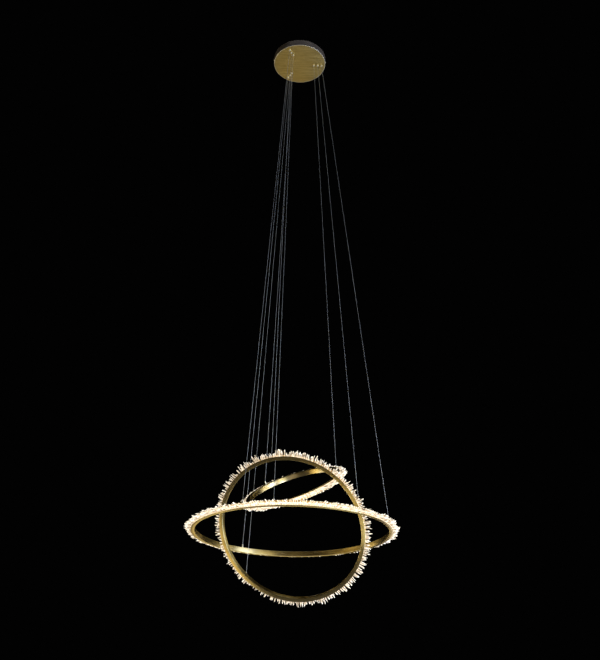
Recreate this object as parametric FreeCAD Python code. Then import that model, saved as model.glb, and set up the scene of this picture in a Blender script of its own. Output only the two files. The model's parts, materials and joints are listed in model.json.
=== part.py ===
import FreeCAD, Part
import math
import os

from FreeCAD import Matrix, Placement, Rotation, Vector

# Orb chandelier: three brass rings set with quartz points hang one inside another, each on three
# thin steel wires from one round ceiling canopy.
# Millimetres. The ceiling is the plane z = 0, the canopy's axis is Z, the front of the orb is -Y.

UP = Vector(0, 0, 1)
AXIS = Vector(0, 0, 0)
# how far a cut runs past what it cuts
PAST = 1

# canopy: a spun brass cover
CANOPY_DIAMETER = 270
CANOPY_HEIGHT = 35
CANOPY_SHEET = 1.5
CANOPY_EDGE = 1.2
FACE_Z = -CANOPY_HEIGHT
INSIDE_Z = FACE_Z + CANOPY_SHEET

# ceiling bracket: a steel bar with turned-down ends, and a wing for the terminal block
BRACKET_SHEET = 3
BRACKET_WIDTH = 32
BRACKET_REACH = 132
BRACKET_TAB_DROP = 20
WING_REACH = 62
WING_WIDTH = 44
CABLE_WINDOW = (14, 24, 38)
CEILING_HOLE_SPACING = 180
CEILING_HOLE_RADIUS = 2.75

# the two screws that hold the cover to the bracket's ends
SIDE_SCREW_RADIUS = 2
SIDE_SCREW_Z = -14
SIDE_SCREW_SHANK = 9
SIDE_SCREW_HEAD = (7, 2.6)
NOTCH_PLAY = 0.2
TAPPED_FIT = 0.02

# electrical parts in the canopy
DRIVER_SIZE = Vector(120, 42, 22)
DRIVER_CORNER = 3
TERMINAL_SIZE = Vector(36, 18, 14)
TERMINAL_Y = 42
TERMINAL_POLES = (-11, 0, 11)
TERMINAL_ENTRY = 4.4
LEAD_DIAMETER = 2.4
LEAD_BEND = 9
LEAD_INSET = 4

# wire grips, which stand square in the canopy's face
NOSE_WIDTH = 10
NOSE_HEIGHT = 5.5
NECK_WIDTH = 5
COLLAR_WIDTH = 6.6
COLLAR_STAND = 0.5
SLIDING_FIT = 0.05
INSULATOR_SHEET = 1.2
STRIP_SHEET = 3
STRIP_WIDTH = 16
STRIP_OVERHANG = 11

# the release sleeve and the pair of wedge jaws that rides on it
SLEEVE_WIDTH = 4.4
SLEEVE_STAND = 2
SLEEVE_LENGTH = 3.3
SLEEVE_BORE = 2
SLEEVE_MOUTH = 3.1
JAW_HEIGHT = 2
JAW_GAP = 1.7
JAW_ROOM = 1.8
TAPER = 1

# wires
WIRE_DIAMETER = 1.2
WIRE_SIDES = 6
WIRE_TAIL = 0.8
PIVOT_Z = FACE_Z - COLLAR_STAND - NOSE_HEIGHT + SLEEVE_LENGTH - SLEEVE_STAND + JAW_HEIGHT / 2
ROW_ANGLES = {"front": -120, "back": 120, "right": 0}

# ring section, the same on all three rings: a brass channel that opens outward
RING_DEPTH = 15
RING_WIDTH = 20
RING_WALL = 2
SEAM_GAP = 0.3
SEAM_ANGLE = 157
SPLICE_SIZE = Vector(1.5, 36, 12)
BOARD_SHEET = 1.6
BOARD_WIDTH = 12
BOARD_GAP = 1

# studs on the rings' upper sides, which take the wires' lower ends
STUD_WIDTH = 5
STUD_TO_PIVOT = 14
STUD_LIP = 1
STUD_FIT = 0.15
STUD_PLAY = 0.6

# quartz points, seated on the light boards
CRYSTAL_SIDES = 5
CRYSTAL_PITCH = 24.5
CRYSTAL_ROW = 3.2
CRYSTAL_WIDTHS = (5.8, 7.2)
CRYSTAL_LENGTHS = (12, 32)
CRYSTAL_LEAN = 0.08
CRYSTAL_SHOULDER = 0.72
CRYSTAL_TAPER = 0.84

# Each ring: outer radius, number of light boards and their flats, radius of its grips on the
# canopy, tilt from level and the compass direction of that tilt, and the centre and twist at which
# it comes to rest on its three wires.
RINGS = {
    "large": {"radius": 400, "flats": 24, "grips": 115, "tilt": 0, "toward": 0,
              "centre": (0, 0, -2520), "twist": 0},
    "middle": {"radius": 300, "flats": 20, "grips": 95, "tilt": 55.4, "toward": 68.2,
               "centre": (-3.4, -8.4, -2514), "twist": 0.91},
    "small": {"radius": 200, "flats": 16, "grips": 75, "tilt": 36.2, "toward": -125.5,
              "centre": (3.5, 4.9, -2339), "twist": 0.18},
}


def polar(radius, angle, z=0):
    turn = math.radians(angle)
    return Vector(radius * math.cos(turn), radius * math.sin(turn), z)


def scatter(number):
    """Evenly scattered values from 0 to 1, the same on every run."""
    return (number * 0.6180339887 + 0.31) % 1


def between(limits, share):
    return limits[0] + (limits[1] - limits[0]) * share


def block(low, high):
    size = high - low
    return Part.makeBox(size.x, size.y, size.z, low)


def corners(width, sides, z=0):
    """The corners of a regular polygon about Z, width across its flats, with one flat facing +X."""
    reach = width / 2 / math.cos(math.pi / sides)
    return [polar(reach, (i + 0.5) * 360 / sides, z) for i in range(sides)]


def outline(width, sides):
    points = corners(width, sides)
    return Part.makePolygon(points + points[:1])


def bar(start, end, width, sides):
    """A solid bar of regular section from start to end."""
    run = end - start
    shape = Part.Face(outline(width, sides)).extrude(UP * run.Length)
    shape.Placement = Placement(start, Rotation(UP, run))
    return shape


def flat_sided(low, high):
    """A solid with flat sides between two flat lists of corners in the same order."""
    faces = [Part.Face(Part.makePolygon(ends + ends[:1])) for ends in (low, high)]
    for i in range(len(low)):
        j = (i + 1) % len(low)
        faces.append(Part.Face(Part.makePolygon([low[i], low[j], high[j], high[i], low[i]])))
    return Part.makeSolid(Part.makeShell(faces))


def taper(low_z, high_z, low_width, high_width):
    """A square bar about Z whose width changes evenly from one end to the other."""
    return flat_sided(corners(low_width, 4, low_z), corners(high_width, 4, high_z))


def turned(points):
    """A solid of revolution about Z from (radius, z) points."""
    profile = [Vector(r, 0, z) for r, z in points]
    face = Part.Face(Part.makePolygon(profile + profile[:1]))
    return face.revolve(AXIS, UP, 360)


def moved(shape, placement):
    shape.Placement = placement.multiply(shape.Placement)
    return shape


def save(name, shapes):
    shape = Part.makeCompound(shapes) if len(shapes) > 1 else shapes[0]
    shape.exportStep("parts/" + name + ".step")


def ring_placement(ring):
    toward = math.radians(ring["toward"])
    tilt = Rotation(Vector(-math.sin(toward), math.cos(toward), 0), ring["tilt"])
    return Placement(Vector(*ring["centre"]), tilt.multiply(Rotation(UP, ring["twist"])))


def grip_placement(ring, row):
    """Moves what is built about the canopy's axis to one grip, turned to face along its row."""
    return Placement(polar(ring["grips"], ROW_ANGLES[row]), Rotation(UP, ROW_ANGLES[row]))


def grip_pivot(ring, row):
    """Where a wire bends in its grip, between the jaws."""
    return polar(ring["grips"], ROW_ANGLES[row], PIVOT_Z)


def stud_pivot(ring, row):
    """Where a wire bends at its stud, above the ring's upper side."""
    local = polar(ring["radius"] - RING_DEPTH / 2, ROW_ANGLES[row], RING_WIDTH / 2 + STUD_TO_PIVOT)
    return ring_placement(ring).multVec(local)


def sway_rates(ring):
    """How the ring turns, and each wire swings, as the ring's centre sways one unit along X.

    A stud can only move square to its own wire, which gives three equations for the centre's rise
    and for the ring's turn about X and Y.
    """
    centre = Vector(*ring["centre"])
    terms = Matrix()
    sides = []
    for i, row in enumerate(ROW_ANGLES):
        stud = stud_pivot(ring, row)
        wire = (stud - grip_pivot(ring, row)).normalize()
        lever = (stud - centre).cross(wire)
        for j, value in enumerate((wire.z, lever.x, lever.y)):
            setattr(terms, "A%d%d" % (i + 1, j + 1), value)
        sides.append(-wire.x)
    rise, turn_x, turn_y = terms.inverse().multVec(Vector(*sides))
    ring_turn = Vector(turn_x, turn_y, 0)
    wire_turns = {}
    for row in ROW_ANGLES:
        stud = stud_pivot(ring, row)
        wire = stud - grip_pivot(ring, row)
        speed = Vector(1, 0, rise) + ring_turn.cross(stud - centre)
        wire_turns[row] = wire.cross(speed) * (1 / wire.dot(wire))
    return ring_turn, wire_turns


def every_grip():
    return [(ring, row) for ring in RINGS.values() for row in ROW_ANGLES]


# The cover: a flat brushed face, a straight wall, square holes for the grips, and a notch at each
# side that slips over the side screws.
def canopy_cover():
    outer = CANOPY_DIAMETER / 2
    inner = outer - CANOPY_SHEET
    cup = turned(
        [
            (0, FACE_Z),
            (outer - CANOPY_EDGE, FACE_Z),
            (outer, FACE_Z + CANOPY_EDGE),
            (outer, 0),
            (inner, 0),
            (inner, INSIDE_Z),
            (0, INSIDE_Z),
        ]
    )
    cuts = []
    for ring, row in every_grip():
        width = COLLAR_WIDTH + 2 * SLIDING_FIT
        hole = bar(UP * (FACE_Z - PAST), UP * (INSIDE_Z + PAST), width, 4)
        cuts.append(moved(hole, grip_placement(ring, row)))
    notch = SIDE_SCREW_RADIUS + NOTCH_PLAY
    for side in (-1, 1):
        x = sorted((side * (inner - PAST), side * (outer + PAST)))
        low = Vector(x[0], -notch, SIDE_SCREW_Z - notch)
        cuts.append(block(low, Vector(x[1], notch, PAST)))
    return cup.cut(Part.makeCompound(cuts))


def ceiling_bracket():
    half = BRACKET_WIDTH / 2
    plate = block(Vector(-BRACKET_REACH, -half, -BRACKET_SHEET), Vector(BRACKET_REACH, half, 0))
    wing = block(Vector(-WING_WIDTH / 2, 0, -BRACKET_SHEET), Vector(WING_WIDTH / 2, WING_REACH, 0))
    plate = plate.fuse(wing)
    window, near, far = CABLE_WINDOW
    low = Vector(-window / 2, near, -BRACKET_SHEET - PAST)
    cuts = [block(low, Vector(window / 2, far, PAST))]
    through = BRACKET_SHEET + 2 * PAST
    for side in (-1, 1):
        out = Vector(side, 0, 0)
        x = sorted((side * BRACKET_REACH, side * (BRACKET_REACH - BRACKET_SHEET)))
        end = block(Vector(x[0], -half, -BRACKET_TAB_DROP), Vector(x[1], half, -BRACKET_SHEET / 2))
        plate = plate.fuse(end)
        tapped = out * (BRACKET_REACH - BRACKET_SHEET - PAST) + UP * SIDE_SCREW_Z
        cuts.append(Part.makeCylinder(SIDE_SCREW_RADIUS + TAPPED_FIT, through, tapped, out))
        ceiling = out * (CEILING_HOLE_SPACING / 2) - UP * (BRACKET_SHEET + PAST)
        cuts.append(Part.makeCylinder(CEILING_HOLE_RADIUS, through, ceiling))
    return plate.cut(Part.makeCompound(cuts)).removeSplitter()


def side_screw(side):
    """A hexagon head outside the wall, and a shank through the wall's notch and the tapped end."""
    out = Vector(side, 0, 0)
    seat = out * (CANOPY_DIAMETER / 2) + UP * SIDE_SCREW_Z
    width, height = SIDE_SCREW_HEAD
    shank = Part.makeCylinder(SIDE_SCREW_RADIUS, SIDE_SCREW_SHANK, seat, -out)
    return shank.fuse(bar(seat, seat + out * height, width, 6))


def driver():
    low = Vector(-DRIVER_SIZE.x / 2, -DRIVER_SIZE.y / 2, -BRACKET_SHEET - DRIVER_SIZE.z)
    case = block(low, low + DRIVER_SIZE)
    upright = [edge for edge in case.Edges if abs(edge.tangentAt(edge.FirstParameter).z) > 0.9]
    return case.makeChamfer(DRIVER_CORNER, upright)


def terminal_block():
    low = Vector(-TERMINAL_SIZE.x / 2, TERMINAL_Y, -BRACKET_SHEET - TERMINAL_SIZE.z)
    case = block(low, low + TERMINAL_SIZE)
    middle_z = low.z + TERMINAL_SIZE.z / 2
    cuts = []
    for x in TERMINAL_POLES:
        near = Vector(x, low.y - PAST, middle_z)
        far = Vector(x, low.y + TERMINAL_SIZE.y + PAST, middle_z)
        cuts.append(bar(near, far, TERMINAL_ENTRY, 4))
    return case.cut(Part.makeCompound(cuts))


def bent_lead(start, corner, end):
    """A lead with one bend: two straight runs joined by a tangent arc."""
    back = (start - corner).normalize()
    ahead = (end - corner).normalize()
    half_turn = (math.pi - back.getAngle(ahead)) / 2
    reach = LEAD_BEND * math.tan(half_turn)
    first, last = corner + back * reach, corner + ahead * reach
    middle_way = (back + ahead).normalize()
    middle = corner + middle_way * (LEAD_BEND / math.cos(half_turn) - LEAD_BEND)
    path = Part.Wire(
        [
            Part.LineSegment(start, first).toShape(),
            Part.Arc(first, middle, last).toShape(),
            Part.LineSegment(last, end).toShape(),
        ]
    )
    section = outline(LEAD_DIAMETER, WIRE_SIDES)
    section.Placement = Placement(start, Rotation(UP, corner - start))
    return path.makePipeShell([section], True, False)


def ring_leads():
    """The two low-voltage leads from the driver to the front and back strips."""
    strip_top = INSIDE_Z + INSULATOR_SHEET + STRIP_SHEET
    driver_z = -BRACKET_SHEET - DRIVER_SIZE.z / 2
    leads = []
    for side, row in ((-1, "front"), (1, "back")):
        reach = RINGS["small"]["grips"] - STRIP_OVERHANG + LEAD_INSET
        end = polar(reach, ROW_ANGLES[row], strip_top)
        start = Vector(end.x, side * DRIVER_SIZE.y / 2, driver_z)
        leads.append(bent_lead(start, Vector(end.x, end.y, driver_z), end))
    return leads


def grip_middles():
    """The axes of the three grips of the row at azimuth 0."""
    return [Vector(ring["grips"], 0, 0) for ring in RINGS.values()]


def row_bar(low_z, high_z):
    """A flat bar along the row at azimuth 0, long enough for its three grips."""
    near = RINGS["small"]["grips"] - STRIP_OVERHANG
    far = RINGS["large"]["grips"] + STRIP_OVERHANG
    return block(Vector(near, -STRIP_WIDTH / 2, low_z), Vector(far, STRIP_WIDTH / 2, high_z))


# A moulded insulator lies inside the cover under each row, with a collar through each hole.
def row_insulator(angle):
    body = row_bar(INSIDE_Z, INSIDE_Z + INSULATOR_SHEET)
    foot = FACE_Z - COLLAR_STAND
    for middle in grip_middles():
        body = body.fuse(bar(middle + UP * foot, middle + UP * INSIDE_Z, COLLAR_WIDTH, 4))
    for middle in grip_middles():
        body = body.cut(bar(middle + UP * (foot - PAST), middle, NECK_WIDTH + 2 * SLIDING_FIT, 4))
    body.rotate(AXIS, UP, angle)
    return body


# Three grips are riveted to one steel strip, which feeds them and shares their load.
def grip_strip(angle):
    low_z = INSIDE_Z + INSULATOR_SHEET
    strip = row_bar(low_z, low_z + STRIP_SHEET)
    for middle in grip_middles():
        strip = strip.cut(bar(middle + UP * (low_z - PAST), middle, NECK_WIDTH + TAPPED_FIT, 4))
    strip.rotate(AXIS, UP, angle)
    return strip


# A grip: a hexagon nose on a square neck. Its bore narrows toward the mouth, so that the wire's
# pull draws the jaws tight, and a push on the sleeve frees them.
def grip_body():
    nose_top = FACE_Z - COLLAR_STAND
    mouth = nose_top - NOSE_HEIGHT
    jaw_foot = PIVOT_Z - JAW_HEIGHT / 2
    room_top = jaw_foot + JAW_HEIGHT + JAW_ROOM
    nose = bar(UP * mouth, UP * nose_top, NOSE_WIDTH, 6)
    neck = bar(UP * nose_top, UP * (INSIDE_Z + INSULATOR_SHEET + STRIP_SHEET), NECK_WIDTH, 4)
    width = SLEEVE_WIDTH + 2 * SLIDING_FIT
    guide = bar(UP * (mouth - PAST), UP * jaw_foot, width, 4)
    room = taper(jaw_foot, room_top, width, width + TAPER)
    return nose.fuse(neck).cut(guide.fuse(room)).removeSplitter()


def release_sleeve():
    """The part to push: a square sleeve whose bore flares downward to let the wire swing."""
    top = PIVOT_Z - JAW_HEIGHT / 2
    sleeve = bar(UP * (top - SLEEVE_LENGTH), UP * top, SLEEVE_WIDTH, 4)
    flare = taper(top - SLEEVE_LENGTH, top, SLEEVE_MOUTH, SLEEVE_BORE)
    return sleeve.cut(flare)


def wedge_jaws():
    """A pair of wedges on the sleeve, one at each side of the wire."""
    foot = PIVOT_Z - JAW_HEIGHT / 2
    slope = TAPER / (JAW_HEIGHT + JAW_ROOM)
    wedge = taper(foot, foot + JAW_HEIGHT, SLEEVE_WIDTH, SLEEVE_WIDTH + slope * JAW_HEIGHT)
    low = Vector(-SLEEVE_WIDTH, -JAW_GAP / 2, foot - PAST)
    high = Vector(SLEEVE_WIDTH, JAW_GAP / 2, foot + JAW_HEIGHT + PAST)
    return wedge.cut(block(low, high)).Solids


def wire(ring, row):
    """A taut wire from between the jaws of its grip to the mouth of its stud."""
    upper, lower = grip_pivot(ring, row), stud_pivot(ring, row)
    tail = (upper - lower).normalize() * WIRE_TAIL
    return bar(lower, upper + tail, WIRE_DIAMETER * math.cos(math.pi / WIRE_SIDES), WIRE_SIDES)


def cavity(ring):
    """The space in a ring's channel: round at its mouth, with flats on its floor for the boards."""
    half = RING_WIDTH / 2 - RING_WALL
    disc = Part.makeCylinder(ring["radius"] + PAST, 2 * half, UP * -half)
    core = bar(UP * (-half - PAST), UP * (half + PAST), 2 * floor_radius(ring), ring["flats"])
    core.rotate(AXIS, UP, SEAM_ANGLE)
    return disc.cut(core)


def floor_radius(ring):
    return ring["radius"] - RING_DEPTH + RING_WALL


# The brass channel. Its ends meet at one fine seam.
def ring_channel(ring):
    outer = ring["radius"]
    half = RING_WIDTH / 2
    inner = outer - RING_DEPTH
    tube = Part.makeCylinder(outer, RING_WIDTH, UP * -half)
    tube = tube.cut(Part.makeCylinder(inner, RING_WIDTH + 2 * PAST, UP * (-half - PAST)))
    low = Vector(inner - PAST, -SEAM_GAP / 2, -half - PAST)
    seam = block(low, Vector(outer + PAST, SEAM_GAP / 2, half + PAST))
    seam.rotate(AXIS, UP, SEAM_ANGLE)
    return tube.cut(cavity(ring)).cut(seam)


def splice_plate(ring):
    """A plate on the flat behind the seam, which joins the channel's two ends."""
    floor = floor_radius(ring)
    low = Vector(floor, -SPLICE_SIZE.y / 2, -SPLICE_SIZE.z / 2)
    plate = block(low, low + SPLICE_SIZE)
    plate.rotate(AXIS, UP, SEAM_ANGLE)
    return plate


def board_angles(ring):
    """The middle of every flat but the one with the splice plate."""
    return [SEAM_ANGLE + 360 * i / ring["flats"] for i in range(1, ring["flats"])]


def board_length(ring):
    return 2 * floor_radius(ring) * math.tan(math.pi / ring["flats"]) - BOARD_GAP


def light_boards(ring):
    """Straight circuit boards with the lamps on them, one on each flat."""
    floor = floor_radius(ring)
    half = board_length(ring) / 2
    boards = []
    for angle in board_angles(ring):
        low = Vector(floor, -half, -BOARD_WIDTH / 2)
        board = block(low, low + Vector(BOARD_SHEET, 2 * half, BOARD_WIDTH))
        board.rotate(AXIS, UP, angle)
        boards.append(board)
    return boards


def crystal(width, length, lean_y, lean_z):
    """A quartz point on its flat base, growing along X, with its tip off centre."""
    tip = Vector(length, lean_y, lean_z)
    base = [Vector(0, p.x, p.y) for p in corners(width, CRYSTAL_SIDES)]
    shoulder = [point * CRYSTAL_TAPER + tip * CRYSTAL_SHOULDER for point in base]
    faces = [Part.Face(Part.makePolygon(base + base[:1]))]
    for i in range(CRYSTAL_SIDES):
        j = (i + 1) % CRYSTAL_SIDES
        side = [base[i], base[j], shoulder[j], shoulder[i], base[i]]
        facet = [shoulder[i], shoulder[j], tip, shoulder[i]]
        faces += [Part.Face(Part.makePolygon(corner)) for corner in (side, facet)]
    return Part.makeSolid(Part.makeShell(faces))


# The quartz points stand on the boards, fanned out evenly and each a little astray.
def quartz_points(ring, seed):
    seat = floor_radius(ring) + BOARD_SHEET
    mouth = ring["radius"] - seat
    length = board_length(ring)
    count = round(length / CRYSTAL_PITCH)
    points = []
    for board, angle in enumerate(board_angles(ring)):
        for i in range(count):
            shares = [scatter(seed + (board * count + i) * step) for step in (1, 2.3, 3.7, 5.1)]
            tall = mouth + between(CRYSTAL_LENGTHS, shares[0] ** 1.5)
            along = length * ((i + 0.5) / count - 0.5)
            fan = tall * along / seat
            lean_y = fan + tall * between((-CRYSTAL_LEAN, CRYSTAL_LEAN), shares[2])
            lean_z = tall * between((-CRYSTAL_LEAN, CRYSTAL_LEAN), shares[3])
            point = crystal(between(CRYSTAL_WIDTHS, shares[1]), tall, lean_y, lean_z)
            point.translate(Vector(seat, along, CRYSTAL_ROW * (1 if (board * count + i) % 2 else -1)))
            point.rotate(AXIS, UP, angle)
            points.append(point)
    return points


# A hexagon stud, brazed square to the ring's side. The wire goes in at a mouth cut along its own
# line; the front and back studs have more play, because the wires there give a little in a swing.
def wire_stud(ring, row):
    side, middle = RING_WIDTH / 2, ring["radius"] - RING_DEPTH / 2
    foot = polar(middle, ROW_ANGLES[row], side)
    stud = bar(foot, foot + UP * (STUD_TO_PIVOT + STUD_LIP), STUD_WIDTH, 6)
    pivot = stud_pivot(ring, row)
    up_wire = (grip_pivot(ring, row) - pivot).normalize()
    play = STUD_FIT if row == "right" else STUD_PLAY
    mouth = bar(pivot - up_wire * play, pivot + up_wire * 2 * STUD_WIDTH, WIRE_DIAMETER + 2 * play, 4)
    return moved(stud, ring_placement(ring)).cut(mouth)


def build():
    os.makedirs("parts", exist_ok=True)
    save("canopy_cover", [canopy_cover()])
    save("ceiling_bracket", [ceiling_bracket()])
    save("side_screws", [side_screw(side) for side in (-1, 1)])
    save("driver", [driver()])
    save("terminal_block", [terminal_block()])
    save("ring_leads", ring_leads())
    save("row_insulators", [row_insulator(angle) for angle in ROW_ANGLES.values()])
    save("grip_strips", [grip_strip(angle) for angle in ROW_ANGLES.values()])
    save("grip_bodies", [moved(grip_body(), grip_placement(ring, row)) for ring, row in every_grip()])
    for seed, (name, ring) in enumerate(RINGS.items()):
        placement = ring_placement(ring)
        save(name + "_ring_channel", [moved(ring_channel(ring), placement)])
        save(name + "_ring_splice_plate", [moved(splice_plate(ring), placement)])
        save(name + "_ring_light_boards", [moved(board, placement) for board in light_boards(ring)])
        points = quartz_points(ring, seed)
        save(name + "_ring_quartz_points", [moved(point, placement) for point in points])
        save(name + "_ring_studs", [wire_stud(ring, row) for row in ROW_ANGLES])
        for row in ROW_ANGLES:
            at_grip = grip_placement(ring, row)
            save(name + "_" + row + "_wire", [wire(ring, row)])
            save(name + "_" + row + "_release_sleeve", [moved(release_sleeve(), at_grip)])
            save(name + "_" + row + "_jaws", [moved(jaw, at_grip) for jaw in wedge_jaws()])


build()
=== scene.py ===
import json
import math

import bmesh
import bpy
from mathutils import Matrix, Vector

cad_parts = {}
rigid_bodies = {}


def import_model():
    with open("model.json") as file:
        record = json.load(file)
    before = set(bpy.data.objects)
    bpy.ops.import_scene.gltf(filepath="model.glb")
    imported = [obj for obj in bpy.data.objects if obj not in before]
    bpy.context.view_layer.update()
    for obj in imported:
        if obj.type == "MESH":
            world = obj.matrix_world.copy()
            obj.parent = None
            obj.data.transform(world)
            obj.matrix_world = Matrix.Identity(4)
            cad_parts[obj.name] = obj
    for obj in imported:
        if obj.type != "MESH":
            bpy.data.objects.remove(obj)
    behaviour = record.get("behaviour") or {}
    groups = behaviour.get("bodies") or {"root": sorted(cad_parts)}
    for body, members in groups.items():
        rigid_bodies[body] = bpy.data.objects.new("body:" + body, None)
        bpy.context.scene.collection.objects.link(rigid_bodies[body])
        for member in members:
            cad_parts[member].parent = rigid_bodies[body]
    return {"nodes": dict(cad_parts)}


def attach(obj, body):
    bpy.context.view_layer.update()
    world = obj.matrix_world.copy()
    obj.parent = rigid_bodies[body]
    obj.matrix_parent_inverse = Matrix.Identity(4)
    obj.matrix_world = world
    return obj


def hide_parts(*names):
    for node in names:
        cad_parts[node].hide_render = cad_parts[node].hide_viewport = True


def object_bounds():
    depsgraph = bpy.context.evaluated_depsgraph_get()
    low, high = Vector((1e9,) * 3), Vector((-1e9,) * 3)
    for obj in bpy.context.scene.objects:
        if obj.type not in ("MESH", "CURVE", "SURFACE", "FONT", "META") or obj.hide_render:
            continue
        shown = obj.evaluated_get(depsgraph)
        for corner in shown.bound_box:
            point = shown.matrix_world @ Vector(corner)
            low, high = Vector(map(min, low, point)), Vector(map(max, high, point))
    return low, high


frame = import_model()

cad_box = [list(corner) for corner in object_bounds()]

# ------------------------------------------------------------------ ceiling bracket
# A bar of 3 mm mild steel with its ends pressed down and a wing for the terminal block. It is
# zinc plated after pressing, and two screws hold it to the ceiling.

NOISE_LOW, NOISE_HIGH = 0.3, 0.7  # what most of a noise texture's values lie between
WELD = 1e-6
FLAT_ANGLE, SHARP_ANGLE, SMOOTH_ANGLE = (math.radians(angle) for angle in (1, 28, 32))


def linear(colour):
    """An sRGB hex colour as linear red, green, blue and alpha."""
    parts = [int(colour[i : i + 2], 16) / 255 for i in (1, 3, 5)]
    return [c / 12.92 if c <= 0.04045 else ((c + 0.055) / 1.055) ** 2.4 for c in parts] + [1]


def put(tree, kind, settings, inputs):
    """Adds a node with its settings. An input is a value, or the node or socket it comes from."""
    node = tree.nodes.new(kind)
    for name, value in settings.items():
        setattr(node, name, value)
    for name, value in inputs.items():
        if isinstance(value, bpy.types.Node):
            value = value.outputs[0]
        if isinstance(value, bpy.types.NodeSocket):
            tree.links.new(value, node.inputs[name])
        else:
            node.inputs[name].default_value = value
    return node


def new_finish(name, **values):
    """A material whose shader has these plain values, with its node tree and Object coordinates."""
    material = bpy.data.materials.new(name)
    material.use_nodes = True
    tree = material.node_tree
    shader = tree.nodes["Principled BSDF"]
    for key, value in values.items():
        shader.inputs[key.replace("_", " ")].default_value = value
    place = put(tree, "ShaderNodeTexCoord", {}, {}).outputs["Object"]
    return material, tree, shader, place


def spread(tree, vector, scale, detail=3, distortion=0):
    """Noise from 0 to 1, in patches of a real size: scale is how many to the metre on each axis."""
    scaled = put(tree, "ShaderNodeMapping", {}, {"Vector": vector, "Scale": scale})
    grain = {"Vector": scaled, "Scale": 1, "Detail": detail, "Distortion": distortion}
    return put(tree, "ShaderNodeTexNoise", {}, grain).outputs["Fac"]


def tinted(tree, shader, amount, stops):
    """Colours a surface by a noise value, through (position, hex colour) stops."""
    ramp = put(tree, "ShaderNodeValToRGB", {}, {"Fac": amount})
    while len(ramp.color_ramp.elements) < len(stops):
        ramp.color_ramp.elements.new(1)
    for element, (position, colour) in zip(ramp.color_ramp.elements, stops):
        element.position = position
        element.color = linear(colour)
    tree.links.new(ramp.outputs["Color"], shader.inputs["Base Color"])
    return ramp.outputs["Color"]


def varied(tree, socket, amount, low, high):
    """Runs a shader's input from low to high with a noise value."""
    span = {"From Min": NOISE_LOW, "From Max": NOISE_HIGH, "To Min": low, "To Max": high}
    run = put(tree, "ShaderNodeMapRange", {}, {"Value": amount, **span})
    tree.links.new(run.outputs[0], socket)


def raised(tree, shader, height, depth):
    """Relief of this depth, in metres, in the shader's normal."""
    bump = put(tree, "ShaderNodeBump", {}, {"Height": height, "Distance": depth, "Strength": 1})
    tree.links.new(bump.outputs[0], shader.inputs["Normal"])


def zinc_plated_steel():
    """Bright zinc on pressed steel: cool spangles 4 mm wide and a soft sheen."""
    material, tree, shader, place = new_finish("zinc_plated_steel", Metallic=1)
    spangle = put(tree, "ShaderNodeTexVoronoi", {}, {"Vector": place, "Scale": 1 / 0.004})
    shade = put(tree, "ShaderNodeSeparateColor", {}, {"Color": spangle.outputs["Color"]}).outputs[0]
    tinted(tree, shader, shade, [(0, "#9a9fa3"), (1, "#c6cacb")])
    varied(tree, shader.inputs["Roughness"], shade, 0.3, 0.48)
    raised(tree, shader, spread(tree, place, (900, 900, 900)), 0.00004)
    return material


def eased(node, radius):
    """A copy of a CAD node's mesh with its sharp edges rounded, as a press or a file does it."""
    bm = bmesh.new()
    bm.from_mesh(frame["nodes"][node].data)
    bmesh.ops.remove_doubles(bm, verts=bm.verts, dist=WELD)
    bmesh.ops.dissolve_limit(bm, angle_limit=FLAT_ANGLE, verts=bm.verts, edges=bm.edges)
    sharp = [e for e in bm.edges if e.is_manifold and e.calc_face_angle(0) > SHARP_ANGLE]
    bmesh.ops.bevel(
        bm, geom=sharp, offset=radius, segments=2, profile=0.5, affect="EDGES", clamp_overlap=True
    )
    mesh = bpy.data.meshes.new(node)
    bm.to_mesh(mesh)
    bm.free()
    return mesh


def fitted(name, mesh, material, body, slot, *nodes):
    """Puts a mesh in the scene as one piece of a body, in place of its CAD nodes."""
    mesh.materials.clear()
    mesh.materials.append(material)
    mesh.shade_smooth()
    mesh.set_sharp_from_angle(angle=SMOOTH_ANGLE)
    piece = bpy.data.objects.new(name, mesh)
    bpy.context.scene.collection.objects.link(piece)
    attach(piece, body)
    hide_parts(*nodes)
    return piece


steel = zinc_plated_steel()
bracket = eased("ceiling_bracket", radius=0.0004)
fitted("pressed_bracket", bracket, steel, "canopy", "steel", "ceiling_bracket")

# ------------------------------------------------------------------ driver
# The low-voltage supply, a sealed case of moulded polycarbonate in two halves that meet at a
# fine groove. It is clipped under the bracket.

DRIVER_LENGTH, DRIVER_DEPTH, DRIVER_CORNER = 0.120, 0.042, 0.003
DRIVER_TOP, DRIVER_BOTTOM, DRIVER_SEAM = -0.003, -0.025, -0.0115


def moulded_plastic(name, dark, light, roughness, grit):
    """Moulded plastic with the fine pitted skin of a spark-eroded mould, grit metres apart."""
    material, tree, shader, place = new_finish(name, Metallic=0, IOR=1.5)
    pits = spread(tree, place, [1 / grit] * 3, detail=2)
    cloud = spread(tree, place, (40, 40, 40))
    tinted(tree, shader, cloud, [(0.3, dark), (0.7, light)])
    varied(tree, shader.inputs["Roughness"], pits, roughness - 0.06, roughness + 0.08)
    raised(tree, shader, pits, 0.00005)
    return material


def lofted(name, loops, hollow=False):
    """A skin through loops of points, capped at both ends, or closed on itself where hollow."""
    bm = bmesh.new()
    rows = [[bm.verts.new(point) for point in loop] for loop in loops]
    if hollow:
        rows.append(rows[0])
    for low, high in zip(rows, rows[1:]):
        for i in range(len(low)):
            j = (i + 1) % len(low)
            bm.faces.new((low[i], low[j], high[j], high[i]))
    if not hollow:
        bm.faces.new(rows[0])
        bm.faces.new(rows[-1])
    bmesh.ops.recalc_face_normals(bm, faces=bm.faces)
    mesh = bpy.data.meshes.new(name)
    bm.to_mesh(mesh)
    bm.free()
    return mesh


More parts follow.
